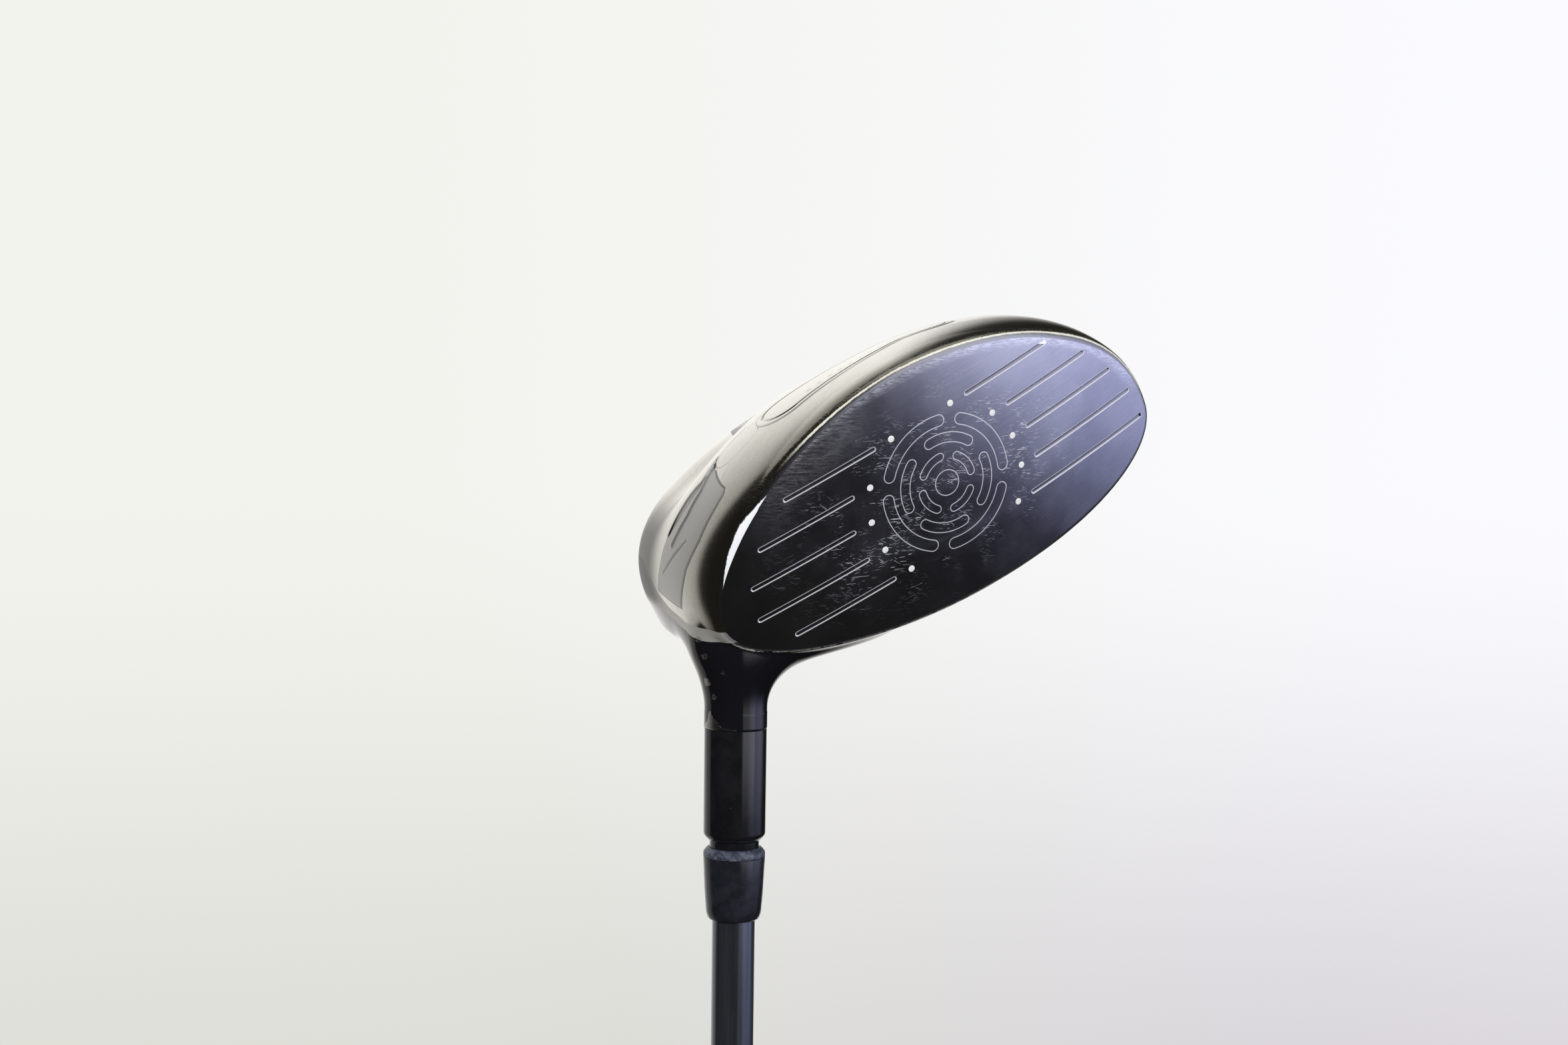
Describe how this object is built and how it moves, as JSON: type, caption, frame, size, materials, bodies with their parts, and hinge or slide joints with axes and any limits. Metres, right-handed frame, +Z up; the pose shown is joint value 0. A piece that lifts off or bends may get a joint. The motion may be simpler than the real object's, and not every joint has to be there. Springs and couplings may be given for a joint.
{
  "type": "fairway wood golf club",
  "caption": "Wood-type golf club with a shallow lofted head, a removable adapter on a tapered shaft and a ribbed rubber grip.",
  "frame": {"origin": "centre of the flat end of the grip cap", "axes": "+Z up the shaft axis from the grip to the head, so the head is on top, sole up; -Y the way the face looks; +X towards the toe"},
  "size_m": [0.1024, 0.0904, 1.1176],
  "materials": {
    "face_metal": "brushed, scuffed from play",
    "head_paint": "glossy black paint, chipped at edges",
    "body_metal": "polished",
    "badge_metal": "satin",
    "dot_paint": "paint fill",
    "hosel_tube": "turned",
    "weight": "as cast",
    "pad": "tacky",
    "screw": "zinc plated",
    "washer": "plain",
    "retainer": "moulded",
    "cover": "polished",
    "adapter": "gloss black anodised",
    "cog": "black anodised",
    "ferrule": "polished",
    "ferrule_ring": "scuffed",
    "shaft": "satin painted carbon tube",
    "plug": "plain",
    "tape": "paper tape",
    "grip": "matt, ribbed",
    "grip_cap": "matt"
  },
  "bodies": {
    "club": {"grip_cap": "grip_cap", "grip": "grip", "grip_tape": "tape", "shaft": "shaft", "tip_plug": "plug", "shaft_adapter": "adapter", "cog_ring": "cog", "ferrule": "ferrule", "ferrule_ring": "ferrule_ring"},
    "release": {"screw_washer": "washer"},
    "head": {"face_cup": "face_metal", "crown_shell": "head_paint", "body_shell": "body_metal", "heel_badge": "badge_metal", "sole_panel": "badge_metal", "sight_dots": "dot_paint", "hosel_tube": "hosel_tube", "sole_weight": "weight", "damping_pad": "pad", "screw_retainer": "retainer", "port_cover": "cover"},
    "screw": {"fastening_screw": "screw"}
  },
  "joints": [
    {"name": "head_release", "type": "slide", "parent": "club", "child": "release", "axis": [0, 0, 1], "range_m": [0, 0.036]},
    {"name": "head_index", "type": "hinge", "parent": "release", "child": "head", "pos_m": [0, 0, 1.061], "axis": [0, 0, 1], "continuous": true},
    {"name": "screw_turn", "type": "hinge", "parent": "release", "child": "screw", "pos_m": [0, 0, 1.071], "axis": [0, 0, 1], "continuous": true}
  ]
}
